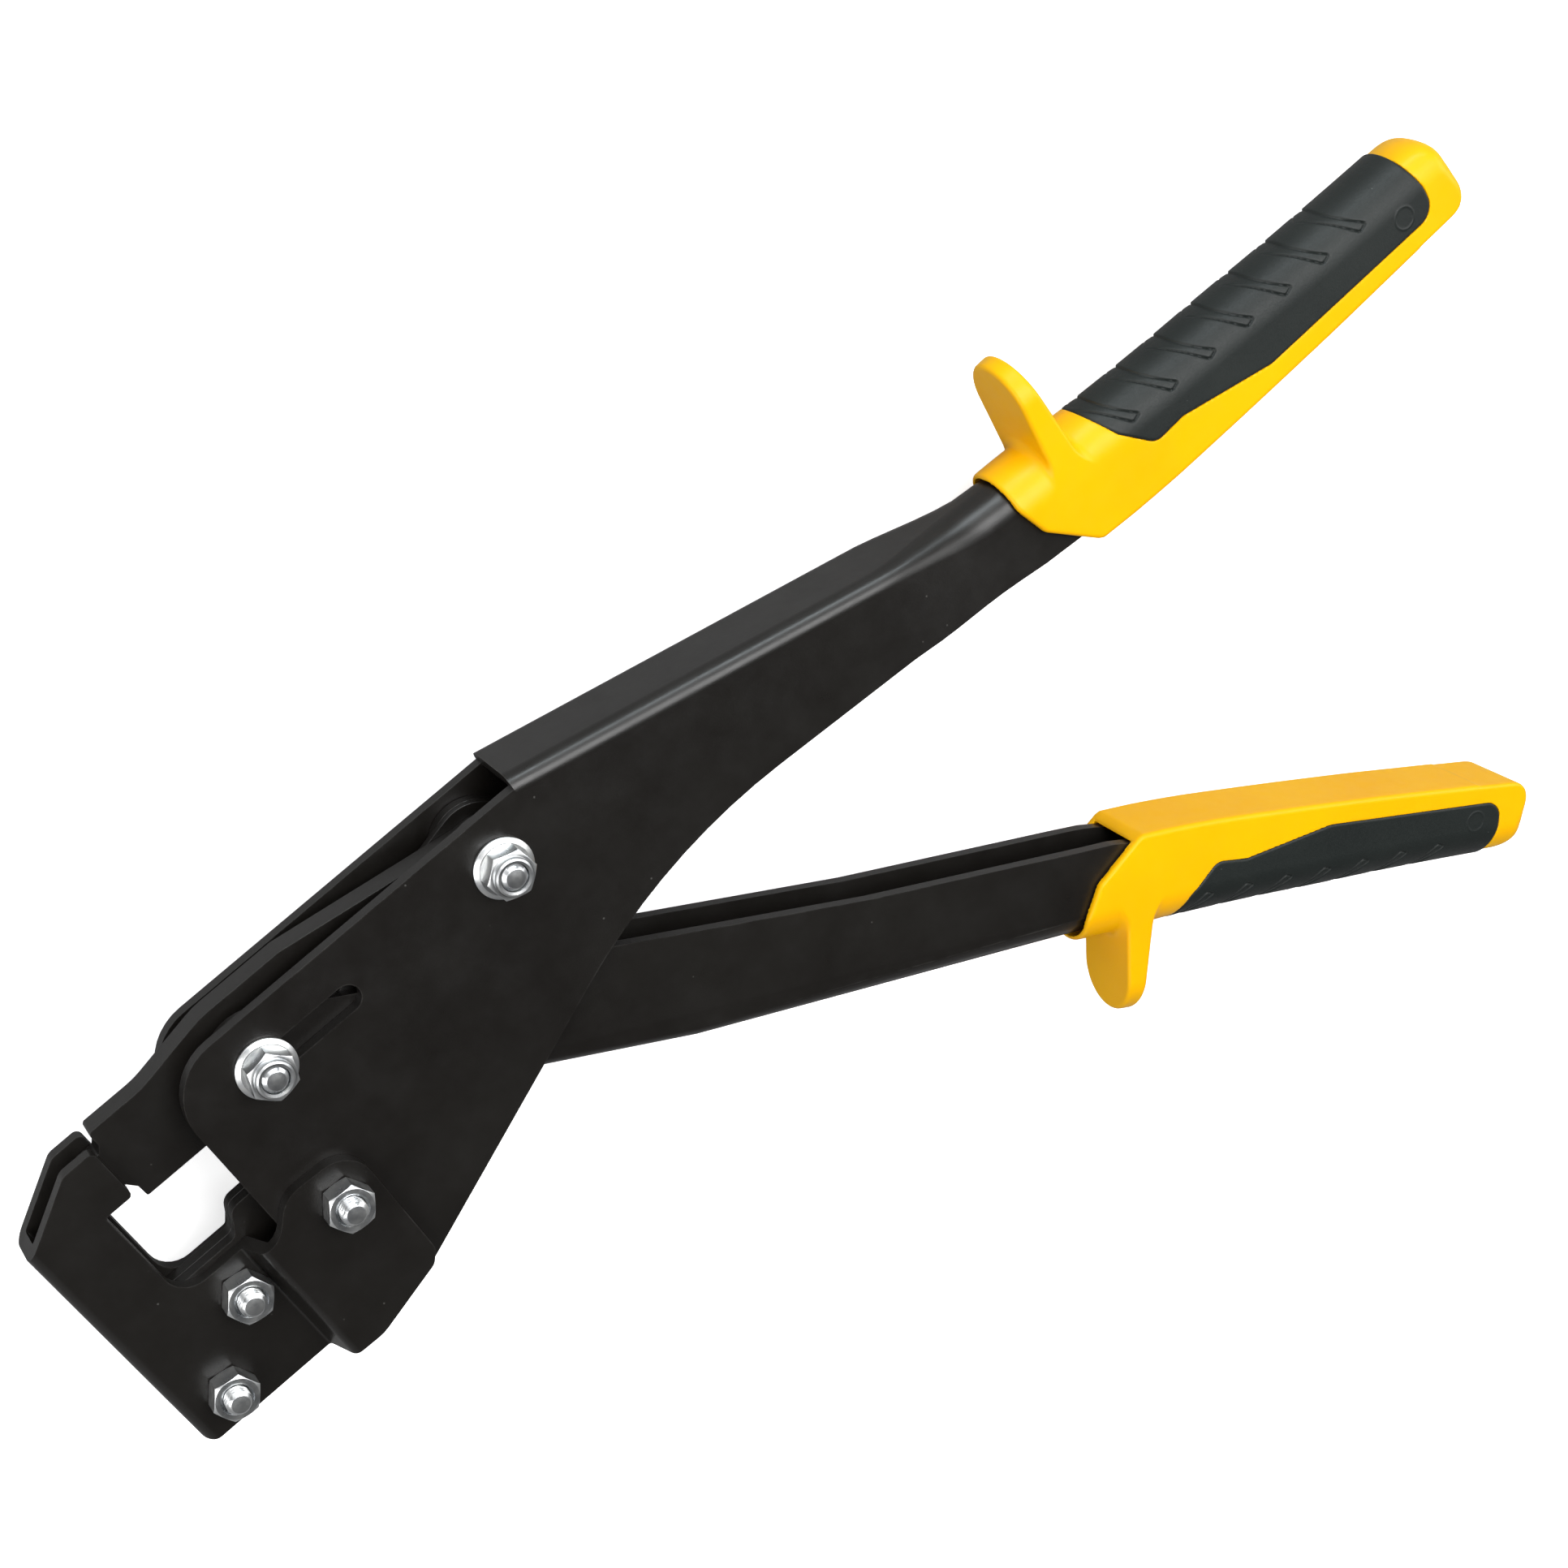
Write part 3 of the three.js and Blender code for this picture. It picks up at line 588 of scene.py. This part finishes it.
def clipped_sheet(top, low, field):
    """Quads of a grid where field is negative, cut along its zero line, with a skirt down to low."""
    columns = field.shape[1]
    points, skirt, index = [], [], {}
    flat_top, flat_low = top.reshape(-1, 3), low.reshape(-1, 3)
    value = field.ravel()

    def corner(i):
        if i not in index:
            index[i] = len(points)
            points.append(flat_top[i])
        return index[i]

    def crossing(i, j):
        key = (min(i, j), max(i, j))
        if key not in index:
            i, j = key
            t = value[i] / (value[i] - value[j])
            index[key] = len(points)
            points.append(flat_top[i] * (1 - t) + flat_top[j] * t)
            skirt.append((index[key], flat_low[i] * (1 - t) + flat_low[j] * t))
        return index[key]

    faces, rim = [], []
    inside = field < 0
    cells = inside[:-1, :-1] | inside[1:, :-1] | inside[:-1, 1:] | inside[1:, 1:]
    for r, c in np.argwhere(cells):
        a = r * columns + c
        ring = (a, a + columns, a + columns + 1, a + 1)
        face, cut = [], []
        for i, j in zip(ring, ring[1:] + ring[:1]):
            if value[i] < 0:
                face.append(corner(i))
            if (value[i] < 0) != (value[j] < 0):
                made = crossing(i, j)
                face.append(made)
                cut.append((made, value[i] < 0))
        if len(face) >= 3:
            faces.append(face)
        if len(cut) == 2:
            leaving = cut[0][0] if cut[0][1] else cut[1][0]
            entering = cut[1][0] if cut[0][1] else cut[0][0]
            rim.append((leaving, entering))
    below = {}
    for i, place in skirt:
        below[i] = len(points)
        points.append(place)
    for a, b in rim:
        faces.append([b, a, below[a], below[b]])
    return np.array(points), faces


# ------------------------------------------------------------------ fasteners

def revolved(profiles):
    """A closed skin round Z: profiles[k] is the ring of (radius, height) points at the k-th angle."""
    count, rings = len(profiles), len(profiles[0])
    points, faces = [], []
    for k, profile in enumerate(profiles):
        angle = 2 * math.pi * k / count
        for radius, height in profile:
            points.append((radius * math.cos(angle), radius * math.sin(angle), height))
    for k in range(count):
        a, b = k * rings, ((k + 1) % count) * rings
        for i in range(rings - 1):
            faces.append([a + i, b + i, b + i + 1, a + i + 1])
        faces.append([a + rings - 1, b + rings - 1, b, a])
    return np.array(points), faces


def step_angles():
    """The angles of the profiles round a fastener, in radians."""
    return [2 * math.pi * k / SIDES for k in range(SIDES)]


def hex_profile(angle, height, flanged):
    """Edge of a hexagon whose corners are turned off on a cone, at the foot too if it has no flange."""
    sixth = math.radians(60)
    radius = HEX_FLATS / 2 / math.cos((angle % sixth) - sixth / 2)
    inner = HEX_FLATS / 2 - 0.1
    fall = (radius - inner) * HEX_CHAMFER
    foot = [(radius, FLANGE_RISE)] if flanged else [(inner, 0), (radius, fall)]
    return foot + [(radius, height - fall), (radius - 0.06, height - fall + 0.05), (inner, height)]


def flange_profile():
    """Edge of a flange: a rim with turned corners, then a cone up to the hexagon."""
    rim, turned = 0.9, 0.2
    return [
        (FLANGE_RADIUS - turned, 0),
        (FLANGE_RADIUS, turned),
        (FLANGE_RADIUS, rim),
        (FLANGE_RADIUS - turned, rim + turned),
        (7.6, 1.7),
        (7.5, FLANGE_RISE),
    ]


def nut_mesh(flanged):
    """A hexagon nut; the flanged one has the collar of its locking ring on top."""
    profiles = []
    for angle in step_angles():
        if flanged:
            outer = flange_profile() + hex_profile(angle, FLANGED_NUT, flanged)
            top = [(5.75, 7.25), (5.75, 8.3), (5.45, 8.8), (4.9, 9.05), (4.15, 8.9)]
        else:
            outer = hex_profile(angle, PLAIN_NUT, flanged)
            top = [(5.0, PLAIN_NUT), (NUT_BORE, PLAIN_NUT - 0.7)]
        profiles.append([(NUT_BORE, 0)] + outer + top)
    return revolved(profiles)


def head_profile(angle, flanged):
    """Edge of a bolt head, out from the plate it bears on, with a shallow dish in its end."""
    height = FLANGED_HEAD if flanged else PLAIN_HEAD
    flange = flange_profile() if flanged else []
    dish = height - 0.25
    return flange + hex_profile(angle, height, flanged) + [(4.4, height), (4.2, dish), (PINHOLE, dish)]


def thread_profile(angle, low, high):
    """Ridges and grooves that climb one pitch in a turn."""
    points = []
    for height in np.arange(low, high, THREAD_PITCH / 8):
        phase = (height / THREAD_PITCH + angle / (2 * math.pi)) % 1
        points.append((BOLT_RADIUS - THREAD_DEPTH * abs(2 * phase - 1), height))
    return points


def bolt_mesh(face, tip, flanged):
    """A bolt through plates whose faces lie at -face and face, from its head to its chamfered tip."""
    profiles = []
    threaded = tip - THREAD_LENGTH
    for angle in step_angles():
        head = [(radius, -face - height) for radius, height in reversed(head_profile(angle, flanged))]
        neck = [(BOLT_RADIUS, -face), (BOLT_RADIUS, -face + 0.2), (BOLT_RADIUS, threaded)]
        thread = thread_profile(angle, threaded + 0.05, tip - 0.9)
        point = [
            (BOLT_RADIUS - 0.5, tip - 0.85),
            (BOLT_RADIUS - 1.1, tip - 0.1),
            (BOLT_RADIUS - 1.4, tip),
            (PINHOLE, tip),
        ]
        profiles.append(head + neck + thread + point)
    return revolved(profiles)


# ------------------------------------------------------------------ pieces

def add_piece(name, skin, place, material, body, node_name, sharp_angle):
    """Makes a visible piece from (points, faces), hangs it on its body, and hides the CAD node that it
    stands for.
    """
    points, faces = skin
    mesh = bpy.data.meshes.new(name)
    mesh.from_pydata((np.asarray(points) * MM).tolist(), [], [list(map(int, f)) for f in faces])
    mesh.update()
    mesh.polygons.foreach_set("use_smooth", [True] * len(mesh.polygons))
    mesh.materials.append(material)
    piece = bpy.data.objects.new(name, mesh)
    bpy.context.scene.collection.objects.link(piece)
    piece.matrix_world = place
    mesh.set_sharp_from_angle(angle=math.radians(sharp_angle))
    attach(piece, body)
    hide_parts(node_name)


def placed(x, y, height, turn):
    """A place in the part's frame, turned about Z."""
    return Matrix.Translation(Vector((x, y, height)) * MM) @ Matrix.Rotation(math.radians(turn), 4, "Z")


def build_fasteners(material):
    """Five bolts through the tool, heads on the far side and nuts on the near one."""
    for name, spec in FASTENERS.items():
        x, y = spec["at"]
        face, turn, flanged, body = (spec[key] for key in ("face", "turn", "flanged", "body"))
        tip = face + (FLANGED_TIP if flanged else PLAIN_TIP)
        middle = placed(x, y, MID_HEIGHT, turn)
        seat = placed(x, y, MID_HEIGHT + face, turn)
        bolt, nut = bolt_mesh(face, tip, flanged), nut_mesh(flanged)
        add_piece(
            f"{name}_bolt_v", bolt, middle, material, body,
            node_name=f"{name}_bolt", sharp_angle=40,
        )
        add_piece(
            f"{name}_nut_v", nut, seat, material, body,
            node_name=f"{name}_nut", sharp_angle=28,
        )


def build_grips(yellow, black):
    """Two grips of one shape, the lower one turned over."""
    shell = shell_mesh()
    pad = pad_mesh()
    for name, spec in GRIPS.items():
        x, y = spec["at"]
        place = placed(x, y, MID_HEIGHT, spec["turn"])
        if spec["over"]:
            place = place @ Matrix.Rotation(math.pi, 4, "X")
        add_piece(
            f"{name}_shell_v", shell, place, yellow, spec["body"],
            node_name=f"{name}_grip_shell", sharp_angle=50,
        )
        add_piece(
            f"{name}_pad_v", pad, place, black, spec["body"],
            node_name=f"{name}_grip_pad", sharp_angle=60,
        )


def finish_node(made, material, width):
    """Gives a CAD node its coating, joins its flat triangles and rounds its edges to a width."""
    mesh = made.data
    mesh.materials.clear()
    mesh.materials.append(material)
    if "custom_normal" in mesh.attributes:
        mesh.attributes.remove(mesh.attributes["custom_normal"])
    mesh.polygons.foreach_set("use_smooth", [True] * len(mesh.polygons))
    weld = made.modifiers.new("weld", "WELD")
    weld.merge_threshold = 0.002 * MM
    flat = made.modifiers.new("flat", "DECIMATE")
    flat.decimate_type = "DISSOLVE"
    flat.angle_limit = math.radians(1.0)
    edge = made.modifiers.new("edge", "BEVEL")
    edge.width = width * MM
    edge.segments = 3
    edge.limit_method = "ANGLE"
    edge.angle_limit = math.radians(32)
    edge.use_clamp_overlap = True
    normals = made.modifiers.new("normals", "WEIGHTED_NORMAL")
    normals.weight = 60
    normals.keep_sharp = False


# ------------------------------------------------------------------ stage

def floor_paper():
    """White to the camera and grey to the light, so that it throws little light up at the tool."""
    material, tree, bsdf = new_material("floor")
    tint = remap(tree, noise(tree, 3.0, 2.0, 0.5), 0.3, 0.7, 0, 1)
    seen = node(tree, "ShaderNodeLightPath").outputs["Is Camera Ray"]
    pale = mix_colour(tree, tint, (0.93, 0.93, 0.93), (0.95, 0.95, 0.95))
    grey = mix_colour(tree, tint, (0.27, 0.27, 0.27), (0.30, 0.30, 0.30))
    tree.links.new(mix_colour(tree, seen, grey, pale), bsdf.inputs["Base Color"])
    tree.links.new(math_node(tree, "MULTIPLY", seen, 0.7), bsdf.inputs["Emission Strength"])
    bsdf.inputs["Roughness"].default_value = 0.9
    bsdf.inputs["Emission Color"].default_value = (1, 1, 1, 1)
    return material


def build_floor(low):
    """A square sheet just under the tool's lowest point, in metres."""
    half = 6.0
    z = low - 0.5 * MM
    corners = [(-half, -half, z), (half, -half, z), (half, half, z), (-half, half, z)]
    mesh = bpy.data.meshes.new("floor")
    mesh.from_pydata(corners, [], [(0, 1, 2, 3)])
    mesh.materials.append(floor_paper())
    floor = bpy.data.objects.new("floor", mesh)
    bpy.context.scene.collection.objects.link(floor)


def add_light(name, place, target, size, power, colour=(1, 1, 1)):
    """A soft box, metres and watts."""
    data = bpy.data.lights.new(name, "AREA")
    data.shape = "RECTANGLE"
    data.size, data.size_y = size
    data.energy = power
    data.color = colour
    light = bpy.data.objects.new(name, data)
    light.location = place
    aim = Vector(target) - Vector(place)
    light.rotation_euler = aim.to_track_quat("-Z", "Y").to_euler()
    bpy.context.scene.collection.objects.link(light)


def build_lights():
    """Soft boxes round the tool, and a narrow bluish one that shows in the spine's bends."""
    centre = (0.08, -0.06, 0.02)
    add_light("spine_box", (0.35, 1.15, 0.75), centre, (1.5, 0.9), 6)
    add_light("left_box", (-1.2, 0.35, 1.0), centre, (0.9, 1.2), 12)
    add_light("top_box", (0.5, 0.45, 1.7), centre, (1.2, 0.9), 22)
    add_light("right_box", (1.5, -0.2, 0.9), centre, (0.9, 1.2), 9)
    add_light("bend_strip", (0.78, 1.0, 0.54), (0.1, 0, 0.03), (0.8, 0.2), 4.5, (0.84, 0.95, 1.0))


def build_world():
    """White to the camera; to the tool a dim grey room, darkest where the flat plates mirror it."""
    world = bpy.data.worlds.new("studio")
    bpy.context.scene.world = world
    world.use_nodes = True
    tree = world.node_tree
    back = tree.nodes["Background"]
    place = node(tree, "ShaderNodeTexCoord")
    dark_way = node(tree, "ShaderNodeVectorMath", operation="DOT_PRODUCT")
    dark_way.inputs[1].default_value = (0.12, -0.54, 0.83)
    tree.links.new(place.outputs["Generated"], dark_way.inputs[0])
    shade = remap(tree, dark_way.outputs["Value"], 0.45, 0.95, 0.33, 0.08)
    seen = node(tree, "ShaderNodeLightPath").outputs["Is Camera Ray"]
    tree.links.new(math_node(tree, "MAXIMUM", shade, seen), back.inputs["Strength"])
    back.inputs["Color"].default_value = (1, 1, 1, 1)


def build_camera():
    """Stands on the nuts' side, beyond the spine, and looks back down at the tool; in metres."""
    place = Vector((-0.0659, 0.3747, 0.7037 + MID_HEIGHT * MM))
    right = Vector((0.7528, -0.5013, 0.4266))
    back = Vector((-0.1162, 0.5366, 0.8358))
    data = bpy.data.cameras.new("camera")
    data.lens = 66.5
    data.sensor_width = 36
    data.shift_x = 0.046
    data.shift_y = 0.116
    data.clip_start = 0.05
    camera = bpy.data.objects.new("camera", data)
    up = back.cross(right).normalized()
    right = up.cross(back).normalized()
    turn = Matrix((right, up, back.normalized())).transposed().to_4x4()
    camera.matrix_world = Matrix.Translation(place) @ turn
    bpy.context.scene.collection.objects.link(camera)
    bpy.context.scene.camera = camera


# ------------------------------------------------------------------ the scene

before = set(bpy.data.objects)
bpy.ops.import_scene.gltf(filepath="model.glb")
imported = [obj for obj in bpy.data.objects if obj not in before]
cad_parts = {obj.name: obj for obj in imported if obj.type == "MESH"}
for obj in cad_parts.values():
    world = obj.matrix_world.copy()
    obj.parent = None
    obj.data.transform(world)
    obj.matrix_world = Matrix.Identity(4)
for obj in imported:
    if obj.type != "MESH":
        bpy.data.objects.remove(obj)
cad_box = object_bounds()
steel = black_steel()
plated = zinc()

for name, width in STEEL_EDGES.items():
    finish_node(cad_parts[name], steel, width)
for name in PLATED_NODES:
    finish_node(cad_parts[name], plated, PLATED_EDGE)

build_fasteners(plated)
build_grips(yellow_plastic(), soft_black())
build_floor(cad_box[0].z)
build_lights()
build_world()
build_camera()
bpy.context.scene.view_settings.view_transform = "Standard"
